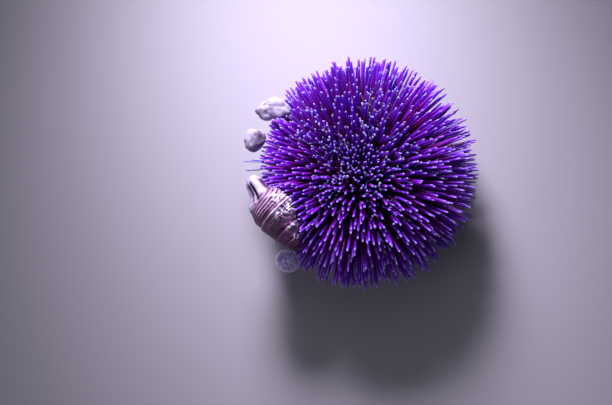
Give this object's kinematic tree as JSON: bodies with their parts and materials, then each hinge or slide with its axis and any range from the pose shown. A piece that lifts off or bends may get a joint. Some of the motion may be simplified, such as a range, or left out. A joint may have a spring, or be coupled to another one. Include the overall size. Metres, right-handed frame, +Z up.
{
  "type": "purple sea urchin",
  "caption": "Life-size purple sea urchin with dense short violet spines, holding pale stones and a whelk shell against its side.",
  "frame": {"origin": "middle of the whole object's box, on the floor that its lower spines stand on", "axes": "+Z up, from the mouth to the crown; -Y towards the viewer; the cover that it holds is on the -X side"},
  "size_m": [0.0938, 0.0936, 0.0458],
  "materials": {
    "violet_spines": "satin violet spines, dark wine red at the root",
    "crown_plates": "matt dark purple plates",
    "mouth_membrane": "soft wrinkled membrane",
    "teeth": "smooth pale enamel",
    "pale_stone": "rough pale stone",
    "whelk_shell": "ridged shell with a pale crust",
    "limpet_shell": "worn pale shell"
  },
  "bodies": {
    "root": {"ambulacrum_1": "violet_spines", "ambulacrum_2": "violet_spines", "ambulacrum_3": "violet_spines", "ambulacrum_4": "violet_spines", "ambulacrum_5": "violet_spines", "cover_limpet_shell": "limpet_shell", "cover_stone_large": "pale_stone", "cover_stone_small": "pale_stone", "cover_whelk_shell": "whelk_shell", "crown": "crown_plates", "interambulacrum_1": "violet_spines", "interambulacrum_2": "violet_spines", "interambulacrum_3": "violet_spines", "interambulacrum_4": "violet_spines", "interambulacrum_5": "violet_spines", "mouth_membrane": "mouth_membrane", "tooth_1": "teeth", "tooth_2": "teeth", "tooth_3": "teeth", "tooth_4": "teeth", "tooth_5": "teeth"}
  },
  "joints": []
}
